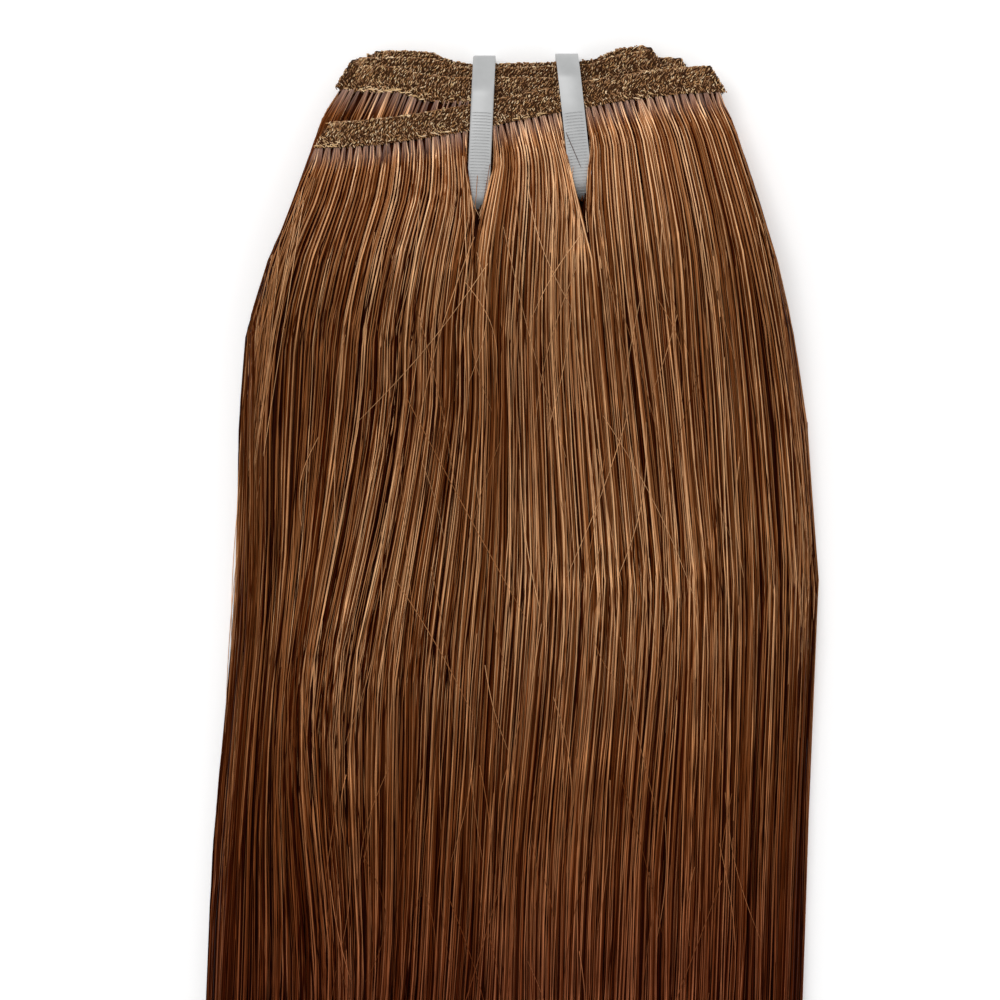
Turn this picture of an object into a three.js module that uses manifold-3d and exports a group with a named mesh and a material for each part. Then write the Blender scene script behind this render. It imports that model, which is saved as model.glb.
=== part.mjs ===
// A straight hair extension bundle. One long sewn weft is folded back and forth into six layers,
// a curtain of hair hangs from each layer, and two nylon cable ties hold the folded stack together.
// Millimetres, +Z up. The bundle lies on the XY plane with its weft at the +Y end and its hair
// running towards -Y. Depth is the distance from the top of the weft down the hair.
import * as THREE from "three";
import { mergeVertices } from "three/addons/utils/BufferGeometryUtils.js";
import Module from "manifold-3d";

const wasm = await Module();
wasm.setup();

const { lerp, smoothstep } = THREE.MathUtils;

// The folded weft
const BAND_HEIGHT = 4.8;
const LAYER_PITCH = 2.0;
const LAYER_GAP = 0.4;
const STACK_BOTTOM = 1.8;
const BAND_THICKNESS = LAYER_PITCH - LAYER_GAP;
const BAND_STEPS = 14;
const TURN_STEPS = 6;
const PULL_REACH = 11;
const PULL_FADE = 9;
const FOLD_SLANT = 0.6;

// The hair
const HAIR_LENGTH = 400;
const SEW_GAP = 0.3;
const ROOT_REACH = 1.5;
const ROOT_INSET = 1.4;
const TIP_RAGGED = 14;
const TIP_WIDTH = 0.4;
const LOCK_OVERLAP = 0.16;
const DOME_START = 29;
const DOME_END = 90;
const FLOOR_LIFT = 0.25;
const BACKING_THICKNESS = 1.0;
const BACKING_EDGE = 0.04;

// The cable ties
const TIE_WIDTH = 4.3;
const TIE_THICKNESS = 1.2;
const TIE_CLEARANCE = 0.4;
const TIE_FLOOR_GAP = 0.2;
const TIE_CORNER = 2.8;
const TIE_HEAD = { width: 7.6, length: 8.2, height: 5.2, depth: 17 };
const TIE_TAIL = { length: 2.5, rise: 2.2 };
const PARTING_HALF = TIE_WIDTH / 2 + TIE_CLEARANCE + 0.1;
const PARTING_RUN = 9;
const PARTING_SETTLED = 100;

// One row for each folded layer of the weft, from the floor up. Two neighbours share the end where
// the strip turns. The drops say how far the top edge of the band lies below the top of the bundle
// at its two ends, pull how much deeper the ties draw it, and reach half the width of that stretch,
// where it isn't the usual one. Inset is how far the layer's hair stays inside the outline, which
// domes the bundle, and locks counts its locks to the left of, between and to the right of the ties.
const WEFT_LAYERS = [
  { left: -25.5, right: 37.5, leftDrop: 1.4, rightDrop: 2.4, pull: 2.2, inset: 0, locks: [3, 2, 3] },
  { left: -27, right: 37.5, leftDrop: 1.2, rightDrop: 2.2, pull: 2.2, inset: 0.3, locks: [2, 1, 2] },
  { left: -27, right: 31.9, leftDrop: 1, rightDrop: 0, pull: 2.8, inset: 0.8, locks: [2, 1, 2] },
  { left: -31.6, right: 31.9, leftDrop: 2.4, rightDrop: 1.2, pull: 2.4, inset: 1.6, locks: [2, 1, 2] },
  { left: -31.6, right: 43, leftDrop: 4, rightDrop: 4.2, pull: 2.1, reach: 17, inset: 2.8, locks: [2, 1, 2] },
  { left: -35.5, right: 43, leftDrop: 14.8, rightDrop: 4.1, pull: 0, inset: 4.5, locks: [4, 2, 4] },
];
const FRONT = WEFT_LAYERS.length - 1;

// One row for each station down the hair: its depth, the left and right edge of the bundle there,
// and its underside and top above the floor.
const SECTIONS = [
  { depth: 22, left: -36.6, right: 46.6, low: STACK_BOTTOM, high: STACK_BOTTOM + LAYER_PITCH * 6 },
  { depth: 29, left: -38.8, right: 49.0, low: 0.6, high: 15.4 },
  { depth: 40, left: -43.9, right: 52.4, low: 0.0, high: 16.8 },
  { depth: 54, left: -48.1, right: 55.7, low: 0.0, high: 17.2 },
  { depth: 72, left: -49.3, right: 58.5, low: 0.0, high: 16.8 },
  { depth: 102, left: -49.6, right: 60.5, low: 0.0, high: 15.6 },
  { depth: 153, left: -54.3, right: 57.3, low: 0.0, high: 13.6 },
  { depth: 220, left: -57.2, right: 55.6, low: 0.0, high: 11.6 },
  { depth: 345, left: -53.0, right: 50.5, low: 0.0, high: 8.2 },
];
const TIPS = { left: -49.0, right: 46.5, low: 0.0, high: 6.6 };
const BACKING_FIRST_SECTION = 2;

// One row for each tie: where its middle crosses the top of the weft, how far it leans sideways for
// each millimetre that it runs down the hair, and the depth where it dives between the locks.
const TIES = [
  { name: "cable_tie_left", x: -3.0, lean: -0.045, dive: 31.5 },
  { name: "cable_tie_right", x: 12.4, lean: 0.11, dive: 29 },
];
const TIE_MIDDLE = (TIES[0].x + TIES[1].x) / 2;

const weftMaterial = new THREE.MeshStandardMaterial({ color: 0x6b4a2c, roughness: 0.85, metalness: 0 });
const hairMaterial = new THREE.MeshStandardMaterial({ color: 0x6e4322, roughness: 0.45, metalness: 0 });
const nylonMaterial = new THREE.MeshStandardMaterial({ color: 0xd2d5d6, roughness: 0.4, metalness: 0 });

// Draws a section (across, up) out in whole steps, then moves each vertex: place() gets the two
// section coordinates and the step, and returns the point as [x, y, z].
function drawOut(section, steps, place) {
  const geometry = new THREE.ExtrudeGeometry(section, { depth: steps, steps, bevelEnabled: false });
  const position = geometry.getAttribute("position");
  for (let i = 0; i < position.count; i += 1) {
    position.setXYZ(i, ...place(position.getX(i), position.getY(i), Math.round(position.getZ(i))));
  }
  return geometry;
}

// A closed shape through points given as [across, up].
function polygon(points) {
  return new THREE.Shape(points.map(([across, up]) => new THREE.Vector2(across, up)));
}

// The solid inside a closed geometry, for joining and cutting.
function solidOf(geometry) {
  geometry.deleteAttribute("normal");
  geometry.deleteAttribute("uv");
  const merged = mergeVertices(geometry);
  return new wasm.Manifold(
    new wasm.Mesh({
      numProp: 3,
      vertProperties: merged.getAttribute("position").array,
      triVerts: new Uint32Array(merged.index.array),
    }),
  );
}

function meshOf(name, solid, material) {
  const { vertProperties, triVerts } = solid.getMesh();
  const geometry = new THREE.BufferGeometry()
    .setAttribute("position", new THREE.BufferAttribute(vertProperties, 3))
    .setIndex(new THREE.BufferAttribute(triVerts, 1));
  geometry.computeVertexNormals();
  const mesh = new THREE.Mesh(geometry, material);
  mesh.name = name;
  return mesh;
}

// The folded weft

// Depth of the band's top edge: it runs smoothly from one end's drop to the other's, and the ties
// pull the middle of it down the hair.
function topDepth(layer, x) {
  const along = smoothstep(x, layer.left, layer.right);
  const offMiddle = Math.abs(x - TIE_MIDDLE);
  const reach = layer.reach ?? PULL_REACH;
  const pulled = 1 - smoothstep(offMiddle, reach, reach + PULL_FADE);
  return lerp(layer.leftDrop, layer.rightDrop, along) + layer.pull * pulled;
}

function bandMiddle(index) {
  return STACK_BOTTOM + LAYER_PITCH * index + BAND_THICKNESS / 2;
}

// The strip's centre line as it is folded: each layer runs the other way from the one below it, and
// a half turn joins them. A point also holds the way its thickness faces, its top edge's depth and
// its slant: at a fold the strip's end leans in, so that its top edge turns before its lower edge,
// and the end in front is cut at the same slant.
function foldedStrip() {
  const points = [];
  const turnRadius = LAYER_PITCH / 2;
  const turnRoom = turnRadius + BAND_THICKNESS / 2;
  WEFT_LAYERS.forEach((layer, index) => {
    const toRight = index % 2 === 0;
    const way = toRight ? 1 : -1;
    const start = toRight ? layer.left : layer.right;
    const end = toRight ? layer.right : layer.left;
    const first = start + (index === 0 ? 0 : way * turnRoom);
    const last = end - (index === FRONT ? 0 : way * turnRoom);
    const z = bandMiddle(index);
    for (let step = 0; step <= BAND_STEPS; step += 1) {
      const x = lerp(first, last, step / BAND_STEPS);
      const leavesFold = step === 0 && index > 0;
      const isEnd = step === BAND_STEPS;
      const slant = way * FOLD_SLANT * (Number(isEnd) - Number(leavesFold));
      points.push({ x, z, faceX: 0, faceZ: -way, depth: topDepth(layer, x), slant });
    }
    if (index === FRONT) return;
    const next = WEFT_LAYERS[index + 1];
    for (let step = 1; step < TURN_STEPS; step += 1) {
      const share = step / TURN_STEPS;
      const angle = Math.PI * (share - 0.5);
      points.push({
        x: last + way * turnRadius * Math.cos(angle),
        z: z + turnRadius + turnRadius * Math.sin(angle),
        faceX: Math.cos(angle),
        faceZ: way * Math.sin(angle),
        depth: lerp(topDepth(layer, last), topDepth(next, last), share),
        slant: way * FOLD_SLANT,
      });
    }
  });
  return points;
}

// Grow makes the band taller at both edges and half as much thicker, for the room it takes up.
function bandSolid(grow) {
  const strip = foldedStrip();
  const half = (BAND_THICKNESS + grow) / 2;
  const [top, bottom] = [grow, -BAND_HEIGHT - grow];
  const section = polygon([[-half, bottom], [half, bottom], [half, top], [-half, top]]);
  const geometry = drawOut(section, strip.length - 1, (across, up, step) => {
    const { x, z, faceX, faceZ, depth, slant } = strip[step];
    return [x + across * faceX - slant * (up + BAND_HEIGHT), up - depth, z + across * faceZ];
  });
  return solidOf(geometry);
}

// The hair

function tieAt(tie, depth) {
  return tie.x + tie.lean * depth;
}

// Where a layer's hair lies between its neighbours at one section, as [low, high].
function layerRange(index, section) {
  const pitch = (section.high - section.low) / WEFT_LAYERS.length;
  const lift = index === 0 ? FLOOR_LIFT : 0;
  return [section.low + pitch * index + lift, section.low + pitch * (index + 1) - LAYER_GAP];
}

// The shares of a layer's hair that lie to the left of each tie.
function partingShares(layer) {
  const edges = [layer.left, ...TIES.map((tie) => tieAt(tie, tie.dive)), layer.right];
  const total = layer.right - layer.left;
  return edges.slice(1, -1).map((x) => (x - layer.left) / total);
}

// X of a share of the layer's width at one section. The hair is parted round each tie, closes just
// below it and then evens out. Side is -1 or 1: which bank of a parting the share belongs to.
function acrossAt(layer, share, side, section) {
  const inset = layer.inset * smoothstep(section.depth, DOME_START, DOME_END);
  const left = section.left + inset;
  const right = section.right - inset;
  const shares = partingShares(layer);
  const banks = TIES.flatMap((tie, i) => {
    const open = PARTING_HALF * (1 - smoothstep(section.depth, tie.dive, tie.dive + PARTING_RUN));
    const settled = smoothstep(section.depth, tie.dive, PARTING_SETTLED);
    const parting = lerp(tieAt(tie, section.depth), lerp(left, right, shares[i]), settled);
    return [[shares[i], parting - open], [shares[i], parting + open]];
  });
  const knots = [[0, left], ...banks, [1, right]];
  const group = shares.filter((parting) => share > parting || (share === parting && side > 0)).length;
  const [from, to] = [knots[group * 2], knots[group * 2 + 1]];
  return lerp(from[1], to[1], (share - from[0]) / (to[0] - from[0]));
}

// Depth of a layer's hair roots, which reach up into the band.
function rootDepth(layer, x) {
  return topDepth(layer, THREE.MathUtils.clamp(x, layer.left, layer.right)) + BAND_HEIGHT - ROOT_REACH;
}

// The sections of one lock, from its root in the band, inside the band's slanted ends, to its tip.
function lockSections(layer, rootX, tipDepth) {
  const depth = rootDepth(layer, rootX);
  const ends = { left: layer.left + ROOT_INSET, right: layer.right - ROOT_INSET, depth };
  return [{ ...SECTIONS[0], ...ends }, ...SECTIONS, { ...TIPS, depth: tipDepth }];
}

// A lock's section, as wide and as thick as a unit square: finer for the layers that show.
const FINE_LENS = [[0, 0.5], [0.2, 0.1], [0.5, 0], [0.8, 0.1], [1, 0.5], [0.8, 0.9], [0.5, 1], [0.2, 0.9]];
const PLAIN_LENS = [[0, 0.5], [0.25, 0], [0.75, 0], [1, 0.5], [0.75, 1], [0.25, 1]];

// One lock of a layer: a lens-shaped strip over the shares from..to that tapers at its tip.
function lockSolid(index, from, to, tipDepth) {
  const layer = WEFT_LAYERS[index];
  const rootX = lerp(layer.left, layer.right, (from + to) / 2);
  const sections = lockSections(layer, rootX, tipDepth);
  const lens = polygon(index === 0 || index === FRONT ? FINE_LENS : PLAIN_LENS);
  const geometry = drawOut(lens, sections.length - 1, (across, up, step) => {
    const section = sections[step];
    const near = acrossAt(layer, from, 1, section);
    const far = acrossAt(layer, to, -1, section);
    const overlap = LOCK_OVERLAP * (far - near);
    const taper = step === sections.length - 1 ? TIP_WIDTH : 1;
    const spread = 0.5 + (across - 0.5) * taper;
    const x = lerp(near - (from > 0 ? overlap : 0), far + (to < 1 ? overlap : 0), spread);
    const [low, high] = layerRange(index, section);
    const depth = step === 0 ? rootDepth(layer, x) : section.depth;
    return [x, -depth, lerp(low, high, up)];
  });
  return solidOf(geometry);
}

// The flat sheet that the lowest layer's locks are fused to, which rests on the floor.
function backingSolid() {
  const layer = WEFT_LAYERS[0];
  const sections = SECTIONS.slice(BACKING_FIRST_SECTION);
  const section = polygon([[0, 0], [1, 0], [1, BACKING_THICKNESS], [0, BACKING_THICKNESS]]);
  const geometry = drawOut(section, sections.length - 1, (across, up, step) => {
    const share = lerp(BACKING_EDGE, 1 - BACKING_EDGE, across);
    return [lerp(sections[step].left, sections[step].right, share), -sections[step].depth, up];
  });
  return solidOf(geometry);
}

function hairLayer(index, room) {
  const layer = WEFT_LAYERS[index];
  const edges = [0, ...partingShares(layer), 1];
  let made = 0;
  let hair = index === 0 ? backingSolid() : null;
  layer.locks.forEach((count, group) => {
    for (let i = 0; i < count; i += 1) {
      const from = lerp(edges[group], edges[group + 1], i / count);
      const to = lerp(edges[group], edges[group + 1], (i + 1) / count);
      const ragged = ((made * 3 + index * 2) % 5) / 4;
      const lock = lockSolid(index, from, to, HAIR_LENGTH - TIP_RAGGED * ragged);
      hair = hair ? hair.add(lock) : lock;
      made += 1;
    }
  });
  return meshOf(`hair_layer_${index + 1}`, hair.subtract(room), hairMaterial);
}

// The cable ties

// A closed path through corner points with each corner rounded.
function roundedLoop(corners, radius) {
  const path = new THREE.Path();
  corners.forEach((corner, i) => {
    const before = corners[(i + corners.length - 1) % corners.length];
    const after = corners[(i + 1) % corners.length];
    const enter = corner.clone().add(before.clone().sub(corner).setLength(radius));
    const leave = corner.clone().add(after.clone().sub(corner).setLength(radius));
    if (i === 0) path.moveTo(enter.x, enter.y);
    else path.lineTo(enter.x, enter.y);
    path.quadraticCurveTo(corner.x, corner.y, leave.x, leave.y);
  });
  path.closePath();
  return path;
}

// The loop's points moved outwards by a distance.
function grownLoop(points, distance) {
  return points.map((point, i) => {
    const before = points[(i + points.length - 1) % points.length];
    const after = points[(i + 1) % points.length];
    const along = after.clone().sub(before).normalize();
    return new THREE.Vector2(point.x + along.y * distance, point.y - along.x * distance);
  });
}

// The middle of the strap as it goes round the stack, seen from the side as (y, z): under the
// stack, up behind the band's top edges, over the front band and down until it dives into the hair.
function strapLoop(tie) {
  const off = TIE_CLEARANCE + TIE_THICKNESS / 2;
  const under = TIE_FLOOR_GAP + TIE_THICKNESS / 2;
  const frontFace = bandMiddle(FRONT) + BAND_THICKNESS / 2 + off;
  const strapEdges = [tie.x - TIE_WIDTH / 2, tie.x + TIE_WIDTH / 2];
  const topUnderStrap = (layer) => -Math.min(...strapEdges.map((x) => topDepth(layer, x)));
  const backTop = Math.max(...WEFT_LAYERS.map(topUnderStrap)) + off;
  const frontTop = topUnderStrap(WEFT_LAYERS[FRONT]);
  const shoulder = bandMiddle(FRONT - 1);
  const corners = [
    [backTop, under],
    [backTop, shoulder],
    [frontTop + 2 * off, frontFace],
    [frontTop - BAND_HEIGHT - off, frontFace],
    [-tie.dive + TIE_CORNER, frontFace - 1],
    [-tie.dive, frontFace - TIE_CORNER - 2],
    [-tie.dive, under + TIE_CORNER],
    [-tie.dive + TIE_CORNER, under],
  ].map(([y, z]) => new THREE.Vector2(y, z));
  const points = roundedLoop(corners, TIE_CORNER / 2).getPoints(4);
  return points.filter((point, i) => i === 0 || point.distanceTo(points[i - 1]) > 0.01).slice(0, -1);
}

// A tie as one moulded piece: the strap's loop, the head it is drawn through and the cut tail.
// Grow makes the same form larger all round, for the room that the tie takes up in the hair.
function tieSolid(tie, grow) {
  const middle = strapLoop(tie);
  const half = TIE_THICKNESS / 2 + grow;
  const width = TIE_WIDTH + 2 * grow;
  const strap = new THREE.Shape(grownLoop(middle, half));
  strap.holes.push(new THREE.Path(grownLoop(middle, -half)));
  const loop = new THREE.ExtrudeGeometry(strap, { depth: width, bevelEnabled: false });
  const position = loop.getAttribute("position");
  for (let i = 0; i < position.count; i += 1) {
    const [y, z, across] = [position.getX(i), position.getY(i), position.getZ(i)];
    position.setXYZ(i, tieAt(tie, -y) + across - width / 2, y, z);
  }

  const headX = tieAt(tie, TIE_HEAD.depth);
  const headSize = [TIE_HEAD.width, TIE_HEAD.length, TIE_HEAD.height].map((size) => size + 2 * grow);
  const head = new THREE.BoxGeometry(...headSize);
  head.translate(headX, -TIE_HEAD.depth, TIE_FLOOR_GAP + TIE_HEAD.height / 2);

  const tail = new THREE.BoxGeometry(width, TIE_TAIL.length + 2 * grow, 2 * half);
  const tailDepth = TIE_HEAD.depth - (TIE_HEAD.length + TIE_TAIL.length) / 2 + 0.5;
  tail.translate(headX, -tailDepth, TIE_FLOOR_GAP + TIE_TAIL.rise + TIE_THICKNESS / 2);
  return solidOf(loop).add(solidOf(head)).add(solidOf(tail));
}

// The bundle, with the middle of its box on the origin and its underside on the XY plane.
const bundle = new THREE.Group();
const room = TIES.reduce((all, tie) => all.add(tieSolid(tie, TIE_CLEARANCE)), bandSolid(SEW_GAP));
bundle.add(meshOf("weft_band", bandSolid(0), weftMaterial));
WEFT_LAYERS.forEach((_, index) => bundle.add(hairLayer(index, room)));
TIES.forEach((tie) => bundle.add(meshOf(tie.name, tieSolid(tie, 0), nylonMaterial)));
const middle = new THREE.Box3().setFromObject(bundle).getCenter(new THREE.Vector3());
bundle.position.set(-middle.x, -middle.y, 0);

export default bundle;
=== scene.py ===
# %% [markdown]
# # A hair extension bundle
# The real thing is one long strip of hair, sewn along its head by machine, folded back and forth
# and tied with two cable ties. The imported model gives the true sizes: a folded band, six curtains
# of hair and the ties. Here each of them is dressed: the band with stitches, the curtains with
# single strands and the ties with rounded edges and ridges. Everything is measured from the packed
# model, so the dressed bundle stays where the solids are.

import math

import bmesh
import bpy
import numpy as np
from mathutils import Matrix, Vector
from mathutils.bvhtree import BVHTree


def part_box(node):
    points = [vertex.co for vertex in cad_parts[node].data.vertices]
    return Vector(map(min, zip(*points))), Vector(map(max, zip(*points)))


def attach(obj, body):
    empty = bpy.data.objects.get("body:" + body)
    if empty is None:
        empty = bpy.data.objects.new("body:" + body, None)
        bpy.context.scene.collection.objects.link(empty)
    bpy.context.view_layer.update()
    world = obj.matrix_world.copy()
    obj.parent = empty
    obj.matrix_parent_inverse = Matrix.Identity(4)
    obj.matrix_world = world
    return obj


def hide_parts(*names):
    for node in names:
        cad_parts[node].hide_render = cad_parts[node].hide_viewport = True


MM = 0.001
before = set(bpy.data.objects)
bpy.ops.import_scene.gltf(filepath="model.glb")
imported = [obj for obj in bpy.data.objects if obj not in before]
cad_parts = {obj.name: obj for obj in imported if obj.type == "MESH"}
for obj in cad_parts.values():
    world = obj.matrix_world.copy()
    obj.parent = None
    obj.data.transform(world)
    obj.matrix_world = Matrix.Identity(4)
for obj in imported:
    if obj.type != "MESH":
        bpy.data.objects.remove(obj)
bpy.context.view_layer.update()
scene = bpy.context.scene
rng = np.random.default_rng(16)
print("nodes:", sorted(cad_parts))

# %% [markdown]
# ## The camera
# The bundle lies on a table and is seen from straight above, with the weft at the top of the
# picture. A long lens keeps the far edges from leaning outwards. The picture's scale comes from the
# sewn band: it is 4.8 mm tall, and about 25 pixels tall in the picture.

# %% Camera
PICTURE_PIXELS = 1000
PIXEL = 0.19 * MM
WEFT_TOP_ROW = 45
WEFT_RIGHT_COLUMN = 727
LENS = 320
SENSOR = 36

weft_low, weft_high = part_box("weft_band")
picture_middle = PICTURE_PIXELS / 2
view_x = weft_high.x - (WEFT_RIGHT_COLUMN - picture_middle) * PIXEL
view_y = weft_high.y - (picture_middle - WEFT_TOP_ROW) * PIXEL
camera_height = PICTURE_PIXELS * PIXEL * LENS / SENSOR

camera = bpy.data.objects.new("camera", bpy.data.cameras.new("camera"))
camera.data.lens = LENS
camera.data.sensor_width = SENSOR
camera.location = (view_x, view_y, weft_high.z + camera_height)
scene.collection.objects.link(camera)
scene.camera = camera
print(f"camera {camera_height * 1000:.0f} mm above the weft")

# %% [markdown]
# ## Floor and light
# A plain pale floor and soft light, as in a small studio. The floor glows faintly, as a light table
# does, which keeps it white beside the hair. Most of the light comes from all round, and one wide
# lamp on the weft's side gives the hair its gloss: strands shine where they bend towards it.

# %% Floor, sky and lamp
FLOOR_SIZE = 3.0
FLOOR_GLOW = 0.12
SKY_STRENGTH = 0.8
LAMP_PLACE = Vector((-0.1, 0.25, 0.85))
LAMP_SIZE = 0.35
LAMP_POWER = 3

scene.view_settings.view_transform = "Standard"


def node_material(name):
    """A new material, its node tree and its shader node."""
    material = bpy.data.materials.new(name)
    material.use_nodes = True
    return material, material.node_tree, material.node_tree.nodes["Principled BSDF"]


def finished_mesh(name, shape):
    """A mesh made from a bmesh, which is freed."""
    mesh = bpy.data.meshes.new(name)
    shape.to_mesh(mesh)
    shape.free()
    return mesh


shape = bmesh.new()
bmesh.ops.create_grid(shape, x_segments=1, y_segments=1, size=FLOOR_SIZE / 2)
floor = bpy.data.objects.new("floor", finished_mesh("floor", shape))
floor_material, _, floor_shader = node_material("pale_floor")
floor_shader.inputs["Base Color"].default_value = (0.93, 0.93, 0.93, 1)
floor_shader.inputs["Roughness"].default_value = 0.8
floor_shader.inputs["Emission Color"].default_value = (1, 1, 1, 1)
floor_shader.inputs["Emission Strength"].default_value = FLOOR_GLOW
floor.data.materials.append(floor_material)
scene.collection.objects.link(floor)

sky = bpy.data.worlds.new("studio")
sky.use_nodes = True
sky.node_tree.nodes["Background"].inputs["Color"].default_value = (1, 1, 1, 1)
sky.node_tree.nodes["Background"].inputs["Strength"].default_value = SKY_STRENGTH
scene.world = sky

key_lamp = bpy.data.objects.new("key_lamp", bpy.data.lights.new("key_lamp", "AREA"))
key_lamp.data.size = LAMP_SIZE
key_lamp.data.energy = LAMP_POWER
key_lamp.location = Vector((view_x, view_y, 0)) + LAMP_PLACE
key_lamp.rotation_euler = (-LAMP_PLACE).to_track_quat("-Z", "Y").to_euler()
scene.collection.objects.link(key_lamp)
print("floor, sky and lamp made")

# %% [markdown]
# ## Measuring the weft
# The folded band is a stack of six runs joined by half turns. Its layers have one pitch, so the
# height of the stack gives the pitch, and the corners on each layer's upper face give the run of
# its two edges. Reading them from the model is safer than writing the numbers twice.

# %% Measure the layers
LAYER_GAP = 0.4 * MM
CORNER_REACH = 3.2 * MM
FACE_REACH = 0.02 * MM
LAYERS = sum(name.startswith("hair_layer_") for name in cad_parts)

layer_pitch = (weft_high.z - weft_low.z + LAYER_GAP) / LAYERS
band_thickness = layer_pitch - LAYER_GAP
weft_top = weft_high.y


def node_points(node):
    """A CAD node's corners as an array of x, y, z."""
    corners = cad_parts[node].data.vertices
    points = np.empty(len(corners) * 3)
    corners.foreach_get("co", points)
    return points.reshape(-1, 3)


weft_points = node_points("weft_band")


def band_edges(layer):
    """One layer's corners from left to right: x on the lower edge, x and y on the top edge, and y on
    the lower edge."""
    face = weft_low.z + layer * layer_pitch + band_thickness
    on_face = weft_points[np.abs(weft_points[:, 2] - face) < FACE_REACH]
    corners = np.unique(np.round(on_face, 5), axis=0)
    apart = corners[:, None] - corners[None]
    has_below = (np.abs(apart[:, :, 0]) < CORNER_REACH) & (apart[:, :, 1] > CORNER_REACH)
    is_top = has_below.any(axis=1)
    lower, top = corners[~is_top], corners[is_top]
    return lower[:, 0], top[:, 0], top[:, 1], lower[:, 1]


edges = [band_edges(layer) for layer in range(LAYERS)]
band_height = float(np.median(edges[-1][2] - edges[-1][3]))
print(f"{LAYERS} layers, pitch {layer_pitch / MM:.2f} mm, band {band_height / MM:.2f} mm tall")


# %% The folded strip's path
STRIP_STEP = 2 * MM
FEWEST_TURN_ROWS = 5


def folded_path(step):
    """Rows along the strip: x and z of the lower edge, the outward direction in x and z, the y of
    the top edge, how far the top edge lies to the side of the lower one, and the layer's number,
    which is -1 in a turn."""
    rows = []
    for layer, (lower_x, top_x, top_y, _) in enumerate(edges):
        z = weft_low.z + layer * layer_pitch + band_thickness / 2
        x = np.linspace(lower_x[0], lower_x[-1], round((lower_x[-1] - lower_x[0]) / step))
        top, lean = np.interp(x, lower_x, top_y), np.interp(x, lower_x, top_x - lower_x)
        run = np.column_stack([x, 0 * x + z, 0 * x, 0 * x + 1, top, lean, 0 * x + layer])
        rightwards = layer % 2 == 0
        rows.append(run if rightwards else run[::-1])
        if layer + 1 == LAYERS:
            break
        side, end = (1, -1) if rightwards else (-1, 0)
        turn_rows = max(FEWEST_TURN_ROWS, round(math.pi / 2 * layer_pitch / step))
        angle = np.linspace(-math.pi / 2, math.pi / 2, turn_rows + 2)[1:-1]
        out_x, out_z = side * np.cos(angle), np.sin(angle)
        share = (angle + math.pi / 2) / math.pi
        top = top_y[end] * (1 - share) + edges[layer + 1][2][end] * share
        x = lower_x[end] + out_x * layer_pitch / 2
        z = z + layer_pitch / 2 + out_z * layer_pitch / 2
        lean = 0 * x + top_x[end] - lower_x[end]
        rows.append(np.column_stack([x, z, out_x, out_z, top, lean, 0 * x - 1]))
    return np.vstack(rows)


strip = folded_path(STRIP_STEP)
print(f"strip of {len(strip)} rows")


# %% [markdown]
# ## The band under the stitches
# The head of the weft is hair pressed flat and sewn through. A grid is laid along the folded path like
# a ribbon and given its thickness. It only shows between the stitches, so its finish is a dark brown
# that varies in fine grains: the hair's own brown, darkened with painted shade for the shade between
# the stitches.


# %% Shared helpers
def new_piece(name, mesh, material):
    """A finished object for a mesh, riding on the bundle's one body."""
    piece = bpy.data.objects.new(name, mesh)
    piece.data.materials.append(material)
    scene.collection.objects.link(piece)
    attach(piece, "root")
    return piece


def add_ramp(tree, stops):
    """A colour ramp through (place, colour) stops."""
    ramp = tree.nodes.new("ShaderNodeValToRGB")
    points = ramp.color_ramp.elements
    while len(points) < len(stops):
        points.new(0.5)
    for point, (place, colour) in zip(points, stops):
        point.position = place
        point.color = (*colour, 1)
    return ramp


def attribute_value(tree, name):
    """The output of a node that reads a mesh attribute."""
    node = tree.nodes.new("ShaderNodeAttribute")
    node.attribute_name = name
    return node.outputs["Fac"]


def add_noise(tree, scale, detail):
    """A noise texture."""
    noise = tree.nodes.new("ShaderNodeTexNoise")
    noise.inputs["Scale"].default_value = scale
    noise.inputs["Detail"].default_value = detail
    return noise


def grainy_material(name, stops, scale, stretch, bump):
    """A rough finish whose colour and bump follow stretched noise on Object coordinates."""
    material, tree, shader = node_material(name)
    place = tree.nodes.new("ShaderNodeTexCoord")
    mapping = tree.nodes.new("ShaderNodeMapping")
    mapping.inputs["Scale"].default_value = stretch
    noise = add_noise(tree, scale, detail=4)
    ramp = add_ramp(tree, stops)
    relief = tree.nodes.new("ShaderNodeBump")
    relief.inputs["Strength"].default_value = bump
    relief.inputs["Distance"].default_value = 0.2 * MM
    tree.links.new(place.outputs["Object"], mapping.inputs["Vector"])
    tree.links.new(mapping.outputs["Vector"], noise.inputs["Vector"])
    tree.links.new(noise.outputs["Fac"], ramp.inputs["Fac"])
    tree.links.new(noise.outputs["Fac"], relief.inputs["Height"])
    tree.links.new(ramp.outputs["Color"], shader.inputs["Base Color"])
    tree.links.new(relief.outputs["Normal"], shader.inputs["Normal"])
    shader.inputs["Roughness"].default_value = 0.7
    shader.inputs["Specular IOR Level"].default_value = 0.04
    return material


# %% Band
BAND_ROWS = 3
BAND_FILL = 0.85

# The ground's near-black brown is the hair's brown with painted shade, as it lies in shade between the
# stitches.
ground_material = grainy_material(
    "sewn_ground_painted_shade",
    [(0.3, (0.02, 0.007, 0.0015)), (0.7, (0.06, 0.026, 0.009))],
    scale=1500,
    stretch=(1, 1, 1),
    bump=0.6,
)
shape = bmesh.new()
bmesh.ops.create_grid(shape, x_segments=len(strip) - 1, y_segments=BAND_ROWS, size=1)
for corner in shape.verts:
    x, z, _, _, top, lean, _ = strip[round((corner.co.x + 1) / 2 * (len(strip) - 1))]
    up = (corner.co.y + 1) / 2
    corner.co = (x + lean * up, top - band_height * (1 - up), z)
band_mesh = finished_mesh("weft_ground", shape)
band = new_piece("weft_ground", band_mesh, ground_material)
wall = band.modifiers.new("thickness", "SOLIDIFY")
wall.thickness = band_thickness * BAND_FILL
wall.offset = 0
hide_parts("weft_band")
print(f"band of {len(band_mesh.polygons)} faces before its thickness")

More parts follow.
